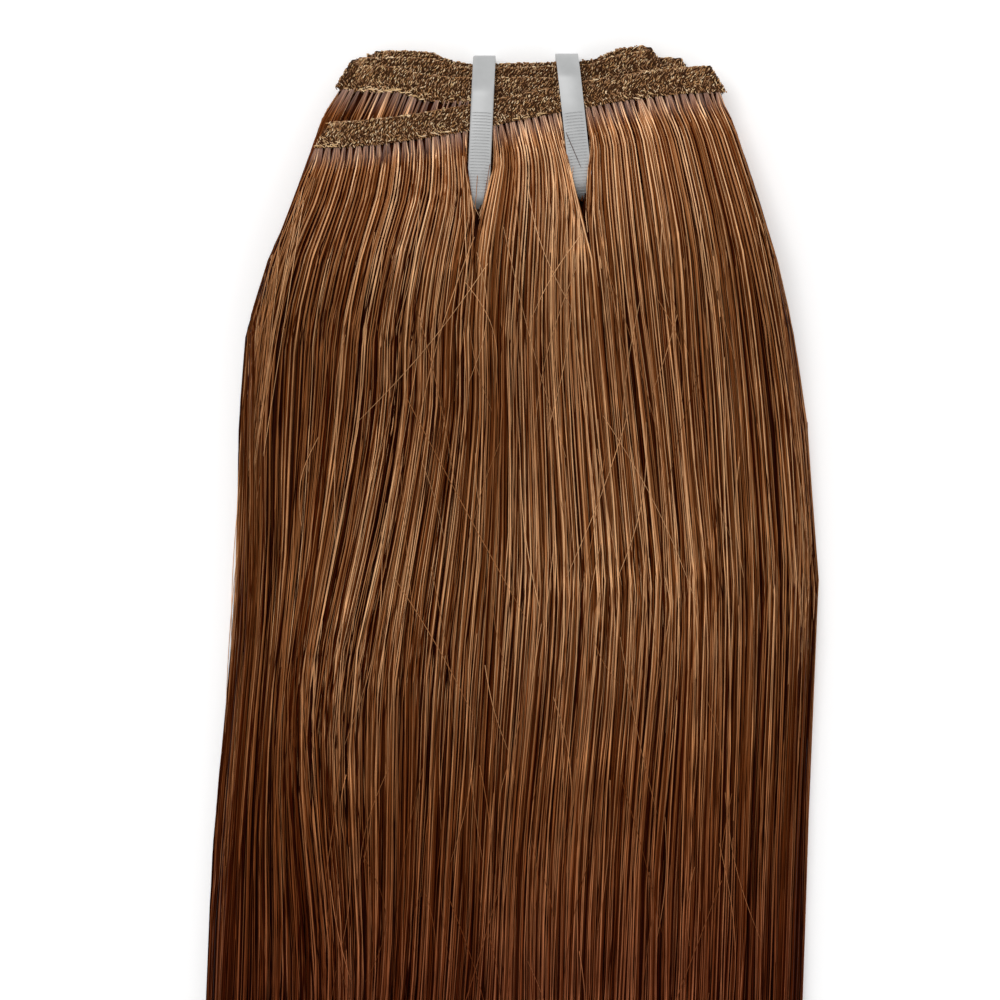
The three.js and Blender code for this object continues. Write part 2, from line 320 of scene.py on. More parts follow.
# %% [markdown]
# ## Stitches
# The sewing shows as rows of small slanted loops of hair and thread. In the upper rows they all lean
# one way, and near the roots they zigzag. One loop is a tiny bead with few faces. Thousands of them
# would be slow as objects, so their corners are worked out together as one array and joined into one
# mesh. Each loop keeps a tone of its own as an attribute, which its material turns into a colour.

# %% Many small shapes as one mesh
TONES = 48
BAKE_MARGIN = 0.1
BAKE_SQUARE = BAKE_MARGIN + (1 - 2 * BAKE_MARGIN) * np.array([(0, 0), (1, 0), (1, 1), (0, 1)])


def tone_steps(tone):
    """Tones from 0 to 1 in even steps, so that equal tones share one place on the bake's map."""
    return np.clip(np.floor(np.asarray(tone) * TONES), 0, TONES - 1).astype(int)


def array_mesh(name, points, quads, triangles, values, bake_map):
    """One smooth mesh from arrays, with a number for each corner under each name in values."""
    mesh = bpy.data.meshes.new(name)
    mesh.from_pydata(points.tolist(), [], quads.tolist() + triangles.tolist())
    for key, numbers in values.items():
        mesh.attributes.new(key, "FLOAT", "POINT").data.foreach_set("value", numbers)
    layer = mesh.uv_layers.new(name="OFBake")
    layer.uv.foreach_set("vector", bake_map.ravel())
    mesh.shade_smooth()
    return mesh


def unit(vectors):
    """Vectors of length 1."""
    return vectors / np.linalg.norm(vectors, axis=-1, keepdims=True)


def bead():
    """Corners, quads and triangles of one bead of size 1, long in x."""
    shape = bmesh.new()
    bmesh.ops.create_uvsphere(shape, u_segments=3, v_segments=3, radius=0.5)
    bmesh.ops.rotate(shape, verts=shape.verts, matrix=Matrix.Rotation(math.pi / 2, 3, "Y"))
    corners = np.array([corner.co for corner in shape.verts])
    faces = [[corner.index for corner in face.verts] for face in shape.faces]
    shape.free()
    quads = np.array([face for face in faces if len(face) == 4])
    triangles = np.array([face for face in faces if len(face) == 3])
    return corners, quads, triangles


def beads_mesh(name, middle, along, out, size, tone):
    """Beads at each middle, lying the way of along; size is their length, width and height."""
    corners, quads, triangles = bead()
    axes = (along, np.cross(out, along), out)
    points = middle[:, None] + sum(
        axis[:, None] * (corners[None, :, i] * size[:, i, None])[..., None]
        for i, axis in enumerate(axes)
    )
    count = len(middle)
    first = (np.arange(count) * len(corners))[:, None, None]
    step = tone_steps(tone)
    quad_map = np.tile(BAKE_SQUARE, (len(quads) * count, 1))
    quad_map[:, 0] += np.repeat(step, len(quads) * 4)
    triangle_map = np.tile(BAKE_SQUARE[:3], (len(triangles) * count, 1))
    triangle_map[:, 0] += np.repeat(step, len(triangles) * 3)
    bake_map = np.vstack([quad_map, triangle_map]) / (TONES, 1)
    values = {"tone": np.repeat((step + 0.5) / TONES, len(corners))}
    mesh = array_mesh(
        name,
        points.reshape(-1, 3),
        (quads[None] + first).reshape(-1, 4),
        (triangles[None] + first).reshape(-1, 3),
        values,
        bake_map,
    )
    print(f"{name}: {count} beads, {(2 * len(quads) + len(triangles)) * count} triangles")
    return mesh


# %% Stitch finish
def tone_material(name, stops, roughness):
    """A finish whose colour is read from each corner's own tone."""
    material, tree, shader = node_material(name)
    ramp = add_ramp(tree, stops)
    tree.links.new(attribute_value(tree, "tone"), ramp.inputs["Fac"])
    tree.links.new(ramp.outputs["Color"], shader.inputs["Base Color"])
    shader.inputs["Roughness"].default_value = roughness
    shader.inputs["Specular IOR Level"].default_value = 0.2
    return material


stitch_material = tone_material(
    "stitch_loops",
    [
        (0.0, (0.045, 0.011, 0.002)),
        (0.2, (0.15, 0.055, 0.016)),
        (0.4, (0.33, 0.165, 0.075)),
        (0.55, (0.46, 0.225, 0.08)),
        (0.7, (0.54, 0.33, 0.19)),
        (0.85, (0.72, 0.47, 0.22)),
        (1.0, (0.95, 0.72, 0.46)),
    ],
    roughness=0.5,
)

# %% Places on the band
STITCH_STEP = 0.37 * MM
STITCH_ROWS = 12
ZIGZAG_ROW = 7
STITCH_LEAN = math.radians(32)
STITCH_SIZE = np.array([0.66, 0.21, 0.3]) * MM
EDGE_ROWS = 3
COVERED = 0.8 * MM

columns = folded_path(STITCH_STEP)
column_x, column_z, column_out_x, column_out_z, column_top, column_lean, column_layer = columns.T
column_out = np.column_stack([column_out_x, 0 * column_x, column_out_z])
column_run = np.column_stack([column_out_z, 0 * column_x, -column_out_x])
column_up = np.tile((0.0, 1.0, 0.0), (len(columns), 1))


def on_band(height):
    """Places in the middle of the band, at a share of its height from the top edge."""
    x = column_x + column_lean * (1 - height)
    return np.column_stack([x, column_top - band_height * height, column_z])


def scaled(directions, lengths):
    """Each direction times its own length."""
    return directions * np.asarray(lengths)[:, None]


def is_covered(places):
    """Whether the next layer of the band lies over each place."""
    covered = np.zeros(len(places), bool)
    x, y, _ = places.T
    for layer, (lower_x, top_x, top_y, lower_y) in enumerate(edges[1:]):
        up = np.clip((y - np.interp(x, lower_x, lower_y)) / band_height, 0, 1)
        left, right = (lower_x[end] + (top_x[end] - lower_x[end]) * up for end in (0, -1))
        inside = (x > left + 2 * COVERED) & (x < right - 2 * COVERED)
        below_top = y < np.interp(x, lower_x, top_y) - COVERED
        above_lower = y > np.interp(x, lower_x, lower_y) + COVERED
        covered |= (column_layer == layer) & inside & below_top & above_lower
    return covered


# %% Stitches on the band's faces and top edges
FACE_SHARE = 0.45
FACE_RISE = (-0.1 * MM, 0.14 * MM)
FACE_SIZES = (0.75, 1.3)
EDGE_SIZES = (0.8, 1.4)
EDGE_LEAN = 0.7

# How unevenly the stitches lie: sideways, across the faces and the top edge, and in their lean.
SIDE_JITTER = 0.12 * MM
FACE_HEIGHT_JITTER, FACE_LEAN_JITTER = 0.03, 0.3
EDGE_HEIGHT_JITTER, EDGE_PLACE_JITTER, EDGE_LEAN_JITTER = 0.025, 0.05, 0.5
STITCH_TONE, STITCH_TONE_SPREAD = 0.51, 0.32


def row_shift(row):
    """How far each stitch of a row is moved along the band: half a step more in every other row."""
    return (row % 2) * STITCH_STEP / 2 + rng.normal(0, SIDE_JITTER, len(columns))


def face_row(row, out):
    """Middle, direction, outward direction and size of one row of stitches on the band's faces."""
    count = len(columns)
    height = (row + 0.5) / STITCH_ROWS + rng.normal(0, FACE_HEIGHT_JITTER, count)
    shift = row_shift(row)
    middle = on_band(height) + out * band_thickness * FACE_SHARE + scaled(column_run, shift)
    middle += scaled(out, rng.uniform(*FACE_RISE, count))
    turned = row >= ZIGZAG_ROW and row % 2 == 1
    lean = (-1 if turned else 1) * STITCH_LEAN + rng.normal(0, FACE_LEAN_JITTER, count)
    along = scaled(column_up, np.cos(lean)) + scaled(column_run, np.sin(lean))
    return middle, along, out, STITCH_SIZE * rng.uniform(*FACE_SIZES, (count, 3))


def edge_row(row):
    """The same for one row of loops along the top edge."""
    count = len(columns)
    place = (row + 0.5) / EDGE_ROWS - 0.5 + rng.normal(0, EDGE_PLACE_JITTER, count)
    shift = row_shift(row)
    middle = on_band(rng.normal(0, EDGE_HEIGHT_JITTER, count)) + scaled(column_run, shift)
    middle += scaled(column_out, place * band_thickness)
    lean = rng.normal(EDGE_LEAN, EDGE_LEAN_JITTER, count)
    along = scaled(column_run, np.cos(lean)) + scaled(column_out, np.sin(lean))
    return middle, along, column_up, STITCH_SIZE * rng.uniform(*EDGE_SIZES, (count, 3))


def chosen_of(row, chosen):
    """The chosen stitches of a row."""
    return [part[chosen] for part in row]


rows = [edge_row(row) for row in range(EDGE_ROWS)]
for number in range(STITCH_ROWS):
    row = face_row(number, column_out)
    rows.append(chosen_of(row, ~is_covered(row[0])))
    rows.append(chosen_of(face_row(number, -column_out), column_layer == 0))
middle, along, out, size = (np.vstack(part) for part in zip(*rows))
tone = rng.normal(STITCH_TONE, STITCH_TONE_SPREAD, len(middle))
stitches = beads_mesh("weft_stitches", middle, unit(along), out, size, tone)
new_piece("weft_stitches", stitches, stitch_material)

# %% [markdown]
# ### The pale thread
# Along the lower edge of each band a straw-coloured thread holds the roots. It comes and goes, as
# some of its loops sink between the hairs. The same beads serve, longer and laid end to end.

# %% Thread
THREAD_HEIGHT = 0.9
THREAD_HEIGHT_JITTER = 0.045
THREAD_SIZE = np.array([1.3, 0.26, 0.3]) * MM
THREAD_SIZES = (0.8, 1.2)
THREAD_RISE = (0.05 * MM, 0.2 * MM)
THREAD_LEAN_JITTER = 0.3
THREAD_TONES = (0.75, 1)
WAVE_ALONG, WAVE_UP, WAVE_SWING = 3.1 * MM, 5 / MM, 0.5
SHOWS_JITTER = 0.25
SHOWS_MOST, SHOWS_LESS = 0.1, 0.55
FACING_UP = 0.9

wave = WAVE_SWING * np.sin(column_x / WAVE_ALONG + WAVE_UP * column_z)
shows = wave + rng.normal(0, SHOWS_JITTER, len(columns))
limit = np.where(column_layer == LAYERS - 2, SHOWS_MOST, SHOWS_LESS)
chosen = (shows > limit) & (column_out_z > FACING_UP)
count = int(chosen.sum())
middle = on_band(THREAD_HEIGHT + rng.normal(0, THREAD_HEIGHT_JITTER, len(columns)))[chosen]
middle += scaled(column_out[chosen], band_thickness / 2 + rng.uniform(*THREAD_RISE, count))
lean = rng.normal(0, THREAD_LEAN_JITTER, count)
along = scaled(column_run[chosen], np.cos(lean)) + scaled(column_up[chosen], np.sin(lean))
size = THREAD_SIZE * rng.uniform(*THREAD_SIZES, (count, 3))
tone = rng.uniform(*THREAD_TONES, count)
thread = beads_mesh("weft_thread", middle, unit(along), column_out[chosen], size, tone)
new_piece("weft_thread", thread, stitch_material)

# %% [markdown]
# ## Measuring the hair
# Each curtain is cut by planes across the hair. A cut gives the curtain's left and right edge and
# how low and high it lies. Between the cuts the numbers are interpolated.

# %% Cut the curtains
CUT_DEPTHS = np.array([24, 29, 34, 40, 47, 54, 63, 72, 87, 102, 127, 153, 186, 220, 280, 345, 370]) * MM
LEFT, RIGHT, LOW, HIGH = range(4)


def node_triangles(node):
    """A CAD node's triangles as an array of corners."""
    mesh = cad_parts[node].data
    mesh.calc_loop_triangles()
    index = np.empty(len(mesh.loop_triangles) * 3, int)
    mesh.loop_triangles.foreach_get("vertices", index)
    return node_points(node)[index].reshape(-1, 3, 3)


def cut_across(triangles, y):
    """Left, right, low and high of the outline that a plane across the hair cuts."""
    start = triangles.reshape(-1, 3)
    end = np.roll(triangles, -1, axis=1).reshape(-1, 3)
    crossing = (start[:, 1] < y) != (end[:, 1] < y)
    start, end = start[crossing], end[crossing]
    share = (y - start[:, 1]) / (end[:, 1] - start[:, 1])
    cut = start + (end - start) * share[:, None]
    return cut[:, 0].min(), cut[:, 0].max(), cut[:, 2].min(), cut[:, 2].max()


curtains = [f"hair_layer_{number + 1}" for number in range(LAYERS)]
curtain_triangles = [node_triangles(node) for node in curtains]
cuts = np.array([[cut_across(t, weft_top - depth) for depth in CUT_DEPTHS] for t in curtain_triangles])
outline = np.column_stack(
    [cuts[:, :, LEFT].min(0), cuts[:, :, RIGHT].max(0), cuts[:, :, LOW].min(0), cuts[:, :, HIGH].max(0)]
)
hair_length = weft_top - min(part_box(node)[0].y for node in curtains)
widest = (outline[:, RIGHT] - outline[:, LEFT]).max()
print(f"hair {hair_length / MM:.0f} mm long and up to {widest / MM:.0f} mm wide")

# %% Measure the ties
TIE_CUTS = (6 * MM, 24 * MM)

tie_names = ("cable_tie_left", "cable_tie_right")


def tie_line(node):
    """The x of a tie's middle at the top of the weft, and its lean for each metre down the hair."""
    triangles = node_triangles(node)
    first, last = (sum(cut_across(triangles, weft_top - depth)[:2]) / 2 for depth in TIE_CUTS)
    lean = (last - first) / (TIE_CUTS[1] - TIE_CUTS[0])
    return first - lean * TIE_CUTS[0], lean


tie_lines = [tie_line(node) for node in tie_names]
print("ties at x", [round(x / MM, 1) for x, _ in tie_lines], "mm")

# %% [markdown]
# ## Hair
# A strand is a thin tube with three sides, which is enough at this size, and smooth shading rounds
# it. Blender's own hair curves would be lighter, but meshes keep their shape in every program. All
# strands of a curtain are worked out together: first the root under the band, then the way down,
# then small wanderings so that no two strands run alike.

# %% Many strands as one mesh
STRAND_SIDES = 3
CAP_SHARE = 0.004


def strands_mesh(name, middle, girth, along, tone):
    """Tubes through middle (strand, point, xyz) with a radius at each point."""
    strands, rings, _ = middle.shape
    way = unit(np.gradient(middle, axis=1))
    side = unit(np.cross(way, (0.0, 0.0, 1.0)))
    over = np.cross(side, way)
    turn = rng.uniform(0, 2 * math.pi, strands)[:, None, None]
    angle = turn + np.arange(STRAND_SIDES) * 2 * math.pi / STRAND_SIDES
    ring = np.cos(angle)[..., None] * side[:, :, None] + np.sin(angle)[..., None] * over[:, :, None]
    points = middle[:, :, None] + ring * girth[:, :, None, None]

    number = np.arange(strands * rings * STRAND_SIDES).reshape(strands, rings, STRAND_SIDES)
    near, far = number[:, :-1], number[:, 1:]
    around = np.roll(np.arange(STRAND_SIDES), -1)
    quads = np.stack([near, far, far[:, :, around], near[:, :, around]], axis=-1).reshape(-1, 4)
    caps = np.vstack([number[:, 0], number[:, -1, ::-1]])

    step = tone_steps(tone)
    across = BAKE_MARGIN + (1 - 2 * BAKE_MARGIN) * np.arange(STRAND_SIDES + 1) / STRAND_SIDES
    u = (step[:, None, None] + across) / TONES
    u = np.broadcast_to(u, (strands, rings - 1, STRAND_SIDES + 1))
    low = np.broadcast_to(along[:, :-1, None], (strands, rings - 1, STRAND_SIDES))
    high = np.broadcast_to(along[:, 1:, None], (strands, rings - 1, STRAND_SIDES))
    left, right = u[:, :, :-1], u[:, :, 1:]
    quad_map = np.stack([left, low, left, high, right, high, right, low], axis=-1).reshape(-1, 2)
    cap_u = (step[:, None] + BAKE_SQUARE[:3, 0]) / TONES
    cap_v = BAKE_SQUARE[:3, 1] * CAP_SHARE
    first_cap = np.stack([cap_u, along[:, :1] + cap_v], axis=-1).reshape(-1, 2)
    last_cap = np.stack([cap_u, along[:, -1:] - cap_v], axis=-1).reshape(-1, 2)
    values = {
        "tone": np.repeat((step + 0.5) / TONES, rings * STRAND_SIDES),
        "along": np.repeat(along.ravel(), STRAND_SIDES),
    }
    bake_map = np.vstack([quad_map, first_cap, last_cap])
    mesh = array_mesh(name, points.reshape(-1, 3), quads, caps, values, bake_map)
    print(f"{name}: {strands} strands, {2 * len(quads) + len(caps)} triangles")
    return mesh


# %% [markdown]
# ### Which way the strands run
# At the root the strands stand in small tufts, as the machine sewed them. Each then takes its share
# of the curtain's width and joins a wisp with its neighbours. Wide smooth noise bends whole locks,
# finer noise bends wisps, and the strands part round the ties and close again below them.


# %% Smooth noise
def ease(value, start, end):
    """Smooth step from 0 at start to 1 at end."""
    share = np.clip((value - start) / (end - start), 0, 1)
    return share * share * (3 - 2 * share)


def smooth_noise(cells_across, cells_down):
    """A field of smooth random numbers over share (0 to 1) and depth."""
    grid = rng.normal(size=(cells_across + 2, cells_down + 2))

    def field(share, depth):
        across = np.clip(share, 0, 1) * cells_across
        down = np.clip(depth / hair_length, 0, 1) * cells_down
        i, j = across.astype(int), down.astype(int)
        a, b = ease(across - i, 0, 1), ease(down - j, 0, 1)
        upper = grid[i, j] * (1 - a) + grid[i + 1, j] * a
        lower = grid[i, j + 1] * (1 - a) + grid[i + 1, j + 1] * a
        return upper * (1 - b) + lower * b

    return field


# %% The flow of the hair
WISPS = 150
OUTER_SHARES = (-0.02, 1.02)
WISP_PULL = 0.12
WISP_LENGTH = 35 * MM
WISP_BEND = 0.25 * MM
LOCK_BEND = 1.2 * MM
TUFT_PITCH = 1.4 * MM
TUFT_SPREAD = (0.55, 1.45)
TUFT_PULL = (0.3, 0.7)
TUFT_LENGTH = (2.5 * MM, 7 * MM)
ROOT_REACH = 0.4 * MM
ROOT_SHARES = (0.009, 0.991)
SETTLE_LENGTH = 8 * MM
FREE_LENGTH = 50 * MM
FREE_AT_EDGE = 0.2
EDGE_SHARE = 0.1
LOOSE_LENGTH = 80 * MM
WAVE_LENGTHS = (11 * MM, 24 * MM)
WAVE_STARTS = (0, 6.3)
STATION_PLACES = (0, 0.2, 0.45, 0.8, 1)
STATION_LENGTHS = (0, 0.03, 0.15, 0.5, 1)
PARTING_HALF = 2.45 * MM
PARTING_SEAM = 0.4 * MM
PARTING_DRAW = 1.1 * MM
PARTING_SPREAD = 4 * MM

# For each tie: the depth where the hair starts to close over the strap, where it meets, where the
# seam below it is gone, and how far beside the middle of the strap it meets.
PARTINGS = (
    (22.5 * MM, 32.5 * MM, 58 * MM, -0.3 * MM),
    (19 * MM, 29.5 * MM, 44 * MM, -0.7 * MM),
)

# Locks that swing to one side: share of the width, half width of the lock as a share, depth where
# the swing starts, depth where it ends, and how far it goes.
SWINGS = (
    (0.29, 0.27, 62 * MM, 122 * MM, -9 * MM),
    (0.2, 0.2, 122 * MM, 180 * MM, 7 * MM),
    (0.66, 0.22, 60 * MM, 130 * MM, 3 * MM),
)

lock_noise = smooth_noise(cells_across=11, cells_down=5)
wisp_noise = smooth_noise(cells_across=WISPS, cells_down=12)
tone_noise = smooth_noise(cells_across=60, cells_down=2)


def part_round_ties(x, depth):
    """Pushes the strands apart where a tie is, each to the side where its root is."""
    for (tie_x, lean), (starts, meets, gone, aside) in zip(tie_lines, PARTINGS):
        closed = np.clip((depth - starts) / (meets - starts), 0, 1)
        settled = ease(depth, meets, gone)
        opening = PARTING_HALF * (1 - closed) + PARTING_SEAM * closed * (1 - settled)
        middle = tie_x + lean * depth + aside * closed * (1 - settled)
        side = np.where(x[:, :1] < middle[:, :1], -1, 1)
        off = (x - middle) * side
        off -= PARTING_DRAW * closed * (1 - settled) * np.exp(-np.maximum(off, 0) / PARTING_SPREAD)
        x = middle + side * (np.hypot(np.maximum(off, 0), opening) + np.minimum(off, 0) * settled)
    return x


def tufts_of(root_x):
    """The middle of each strand's tuft, and how firmly the strand is drawn to it."""
    first, last = root_x.min(), root_x.max()
    count = math.ceil((last - first) / (TUFT_PITCH * TUFT_SPREAD[0])) + 1
    ends = first + TUFT_PITCH * np.concatenate([[0], np.cumsum(rng.uniform(*TUFT_SPREAD, count))])
    tuft = np.clip(np.searchsorted(ends, root_x) - 1, 0, count - 1)
    return (ends[tuft] + ends[tuft + 1]) / 2, rng.uniform(*TUFT_PULL, count)[tuft]


def wisps_of(share):
    """Each strand's wisp and the middle of that wisp."""
    first, last = OUTER_SHARES
    ends = np.concatenate([[first], np.sort(rng.uniform(0, 1, WISPS - 1)), [last]])
    wisp = np.clip(np.searchsorted(ends, share) - 1, 0, WISPS - 1)
    return wisp, (ends[wisp] + ends[wisp + 1]) / 2


def edge_at(table, column, depth):
    """A number from a table of cuts at each depth; above the first cut it goes on in a line."""
    numbers = table[:, column]
    slope = (numbers[1] - numbers[0]) / (CUT_DEPTHS[1] - CUT_DEPTHS[0])
    return np.interp(depth, CUT_DEPTHS, numbers) + slope * np.minimum(depth - CUT_DEPTHS[0], 0)


def travel(count, steps):
    """How far along each strand its points are, closer together near the root and never in line."""
    even = np.arange(steps + 1) / steps
    stagger = rng.uniform(-0.5, 0.5, (count, 1)) / steps * np.sin(math.pi * even) ** 0.5
    return np.interp(even + stagger, STATION_PLACES, STATION_LENGTHS)


def run_down(layer, share, wisp, wisp_middle, tip, table, steps, loose):
    """Depth, x and distance from the root along each strand of a layer. The table holds the edges of
    the curtain, and loose is how far a strand strays from its neighbours."""
    lower_x, _, _, lower_y = edges[layer]
    count = len(share)
    root_x = lower_x[0] + np.clip(share, *ROOT_SHARES) * (lower_x[-1] - lower_x[0])
    root = weft_top - np.interp(root_x, lower_x, lower_y) - ROOT_REACH
    tuft_x, pull = tufts_of(root_x)
    gather = (pull * (tuft_x - root_x))[:, None]
    tuft_length = rng.uniform(*TUFT_LENGTH, (count, 1))
    depth = root[:, None] + (tip - root)[:, None] * travel(count, steps)
    root, root_x = root[:, None], root_x[:, None]
    share, wisp_share = share[:, None], wisp[:, None] / WISPS
    drawn = WISP_PULL * ease(depth, root, root + WISP_LENGTH)
    gathered = share + (wisp_middle[:, None] - share) * drawn
    left, right = edge_at(table, LEFT, depth), edge_at(table, RIGHT, depth)
    x = left + gathered * (right - left)
    x = root_x + (x - root_x) * ease(depth, root - SETTLE_LENGTH / 2, root + SETTLE_LENGTH)
    x += gather * (1 - ease(depth, root, root + tuft_length))
    for middle, half, start, end, swing in SWINGS:
        lock = np.clip(1 - ((share - middle) / half) ** 2, 0, 1) ** 2
        x += swing * lock * ease(depth, start, end)
    inside = ease(np.minimum(share, 1 - share), 0, EDGE_SHARE)
    free = ease(depth, root, root + FREE_LENGTH) * (FREE_AT_EDGE + (1 - FREE_AT_EDGE) * inside)
    wave_length = rng.uniform(*WAVE_LENGTHS, (count, 1))
    wave = np.sin(depth / wave_length + rng.uniform(*WAVE_STARTS, (count, 1)))
    x += free * (LOCK_BEND * lock_noise(share, depth) + WISP_BEND * wisp_noise(wisp_share, depth))
    x += free * rng.normal(0, loose, (count, 1)) * ((depth - root) / LOOSE_LENGTH + wave)
    return depth, part_round_ties(x, depth), depth - root


# %% [markdown]
# ### The colour of hair
# Brown hair is a mixture: nearly black strands beside golden ones. Each strand has a tone, which a ramp
# turns into a colour. Light and shade along its length are painted into that colour: a cool grey-mauve
# painted sheen where it is sewn, painted highlight below the weft and again in a band further down,
# painted shade between them, and darker, redder painted shade further down. Noise read from tone and
# length makes short painted glints.


# %% Hair finish
GLINTS_ACROSS = 37
GLINTS_ALONG = 55


def multiplied(tree, first, second):
    """The product of two colours."""
    mix = tree.nodes.new("ShaderNodeMix")
    mix.data_type = "RGBA"
    mix.blend_type = "MULTIPLY"
    mix.inputs["Factor"].default_value = 1
    tree.links.new(first, mix.inputs["A"])
    tree.links.new(second, mix.inputs["B"])
    return mix.outputs["Result"]


def glints(tree, tone, along):
    """Lighter and darker stretches along the strands."""
    spread = tree.nodes.new("ShaderNodeCombineXYZ")
    for source, factor, socket in ((tone, GLINTS_ACROSS, "X"), (along, GLINTS_ALONG, "Y")):
        times = tree.nodes.new("ShaderNodeMath")
        times.operation = "MULTIPLY"
        times.inputs[1].default_value = factor
        tree.links.new(source, times.inputs[0])
        tree.links.new(times.outputs["Value"], spread.inputs[socket])
    noise = add_noise(tree, scale=1, detail=3)
    tree.links.new(spread.outputs["Vector"], noise.inputs["Vector"])
    ramp = add_ramp(tree, [(0.3, (0.62, 0.6, 0.58)), (0.55, (1, 1, 1)), (0.72, (1.35, 1.3, 1.22))])
    tree.links.new(noise.outputs["Fac"], ramp.inputs["Fac"])
    return ramp.outputs["Color"]


def hair_material():
    """Brown hair, from each strand's tone and the distance from its root, with painted sheen, highlight
    and shade along its length.
    """
    material, tree, shader = node_material("brown_hair")
    tone, along = attribute_value(tree, "tone"), attribute_value(tree, "along")
    colour = add_ramp(
        tree,
        [
            (0.0, (0.016, 0.0006, 0.00005)),
            (0.25, (0.07, 0.0125, 0.0012)),
            (0.5, (0.2, 0.07, 0.02)),
            (0.75, (0.41, 0.195, 0.084)),
            (1.0, (0.82, 0.52, 0.3)),
        ],
    )
    # Painted sheen: over the first hundredth of each strand, where it is sewn, the colour is mixed
    # towards a light grey-mauve, the sheen of the taut strands.
    sewn = add_ramp(tree, [(0.001, (0.65, 0.65, 0.65)), (0.01, (0, 0, 0))])
    root_sheen = tree.nodes.new("ShaderNodeMix")
    root_sheen.data_type = "RGBA"
    root_sheen.inputs["B"].default_value = (0.3, 0.205, 0.17, 1)
    # Painted light along the length: brightest at the root and golden just below the weft, a painted
    # highlight band about a fifth of the way down, painted shade before it, and darker, redder painted
    # shade further down.
    down = add_ramp(
        tree,
        [
            (0.0, (1.65, 1.65, 1.65)),
            (0.02, (1.22, 1.14, 1.06)),
            (0.045, (1.16, 1.08, 1.0)),
            (0.07, (0.86, 0.76, 0.65)),
            (0.12, (0.74, 0.6, 0.48)),
            (0.215, (0.93, 0.82, 0.71)),
            (0.32, (0.55, 0.36, 0.24)),
            (0.41, (0.4, 0.21, 0.155)),
        ],
    )
    tree.links.new(tone, colour.inputs["Fac"])
    tree.links.new(along, sewn.inputs["Fac"])
    tree.links.new(along, down.inputs["Fac"])
    tree.links.new(sewn.outputs["Color"], root_sheen.inputs["Factor"])
    tree.links.new(colour.outputs["Color"], root_sheen.inputs["A"])
    with_painted_light = multiplied(tree, root_sheen.outputs["Result"], down.outputs["Color"])
    tree.links.new(multiplied(tree, with_painted_light, glints(tree, tone, along)), shader.inputs["Base Color"])
    shader.inputs["Roughness"].default_value = 0.4
    shader.inputs["Specular IOR Level"].default_value = 0.03
    shader.inputs["Specular Tint"].default_value = (1, 0.62, 0.36, 1)
    return material


strand_finish = hair_material()
# The inner forms' finish: near-black brown streaks, painted shade of the hair in shade under the
# strands.
core_painted_shade = grainy_material(
    "hair_depth_painted_shade",
    [(0.3, (0.014, 0.0016, 0.0001)), (0.7, (0.036, 0.007, 0.0008))],
    scale=1,
    stretch=(2500, 30, 900),
    bump=0.8,
)

# %% [markdown]
# ### Under the strands
# Thousands of strands still let light through, where the real bundle is dense. So each curtain keeps a
# dark inner form: a copy of its solid, merged, drawn in a little and finished in streaks. Its
# near-black brown is painted shade, for the hair that lies in shade under the strands.

# %% Inner forms
CORE_INSET = 0.7 * MM
MERGE_REACH = 0.002 * MM


def merged_copy(node):
    """A copy of a node's solid with its doubled corners merged."""
    shape = bmesh.new()
    shape.from_mesh(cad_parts[node].data)
    bmesh.ops.remove_doubles(shape, verts=shape.verts, dist=MERGE_REACH)
    return shape


for layer, node in enumerate(curtains):
    shape = merged_copy(node)
    shape.normal_update()
    insets = [Vector((corner.normal.x, 0, corner.normal.z)) * CORE_INSET for corner in shape.verts]
    for corner, inset in zip(shape.verts, insets):
        corner.co -= inset
    name = f"hair_core_{layer + 1}"
    core_mesh = finished_mesh(name, shape)
    core_mesh.shade_smooth()
    core = new_piece(name, core_mesh, core_painted_shade)
    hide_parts(node)
print("inner forms made")

# %% [markdown]
# ### The curtains behind
# The five curtains behind the front one show at the flanks, at the tips and between the bands. More
# of their strands lie near the edges, where they are seen.

# %% Strands of the curtains behind
BACK_STRANDS = (500, 500, 500, 600, 900)
BACK_STEPS = 11
BACK_LOOSE = 0.6 * MM
BACK_CROWDING = 0.45
BACK_SHARES = (0.002, 0.998)
BACK_HEIGHTS = (0.08, 0.92)
BACK_TONE, BACK_TONE_SPREAD = 0.44, 0.26
BACK_GIRTHS = (0.7, 1.2)
STRAND_RADIUS = 0.13 * MM
ROOT_SWELL, ROOT_SPAN = 0.08, (0.03, 0.2)
TIP_TAPER, TIP_SPAN = 0.75, (0.8, 0.97)
TIP_LOCKS = 16
TIP_RAGGED = 8 * MM
TIP_UNEVEN = 9 * MM
SHORT_STRANDS = 0.12
SHORT_BY = 90 * MM


def add_strands(name, points, girth, along, tone):
    """A piece of hair made of single strands."""
    new_piece(name, strands_mesh(name, points, girth, along, tone), strand_finish)


def tapered(along, radius):
    """Radius along a strand: a little stouter near the root and fine at the tip."""
    swell = ROOT_SWELL * (1 - ease(along, *ROOT_SPAN))
    return radius[:, None] * (1 + swell - TIP_TAPER * ease(along, *TIP_SPAN))


def tip_depths(share):
    """Ragged tips: locks end at different depths, and some strands stop early."""
    count = len(share)
    ragged = np.abs(smooth_noise(TIP_LOCKS, 1)(share, 0 * share)) * TIP_RAGGED
    short = np.where(rng.random(count) < SHORT_STRANDS, rng.uniform(0, SHORT_BY, count), 0)
    return hair_length - ragged - rng.uniform(0, TIP_UNEVEN, count) - short


